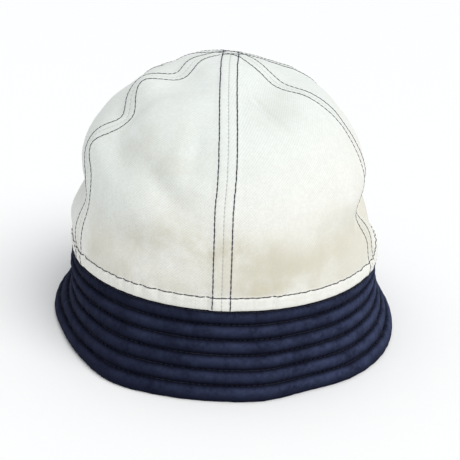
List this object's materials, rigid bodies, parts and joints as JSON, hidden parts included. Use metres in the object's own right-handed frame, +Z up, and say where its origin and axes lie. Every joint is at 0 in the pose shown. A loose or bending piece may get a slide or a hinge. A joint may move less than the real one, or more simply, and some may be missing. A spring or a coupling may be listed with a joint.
{
  "type": "six-panel cloth hat with a quilted brim",
  "caption": "Soft cotton hat with a domed crown of tapered panels and a steep, padded, ring-quilted brim that flares to the rim.",
  "frame": {"origin": "middle of the rim's outline, on the surface that the hat stands on", "axes": "+Z up, -Y out of the hat's front, +X to the right as seen from the front"},
  "size_m": [0.2096, 0.2284, 0.1583],
  "materials": {
    "cream_twill": "washed cotton twill",
    "navy_quilt": "brushed cotton, quilted",
    "navy_thread": "twisted sewing thread"
  },
  "bodies": {
    "root": {"crown_front_right": "cream_twill", "crown_side_right": "cream_twill", "crown_back_right": "cream_twill", "crown_back_left": "cream_twill", "crown_side_left": "cream_twill", "crown_front_left": "cream_twill", "brim": "navy_quilt"}
  },
  "joints": []
}
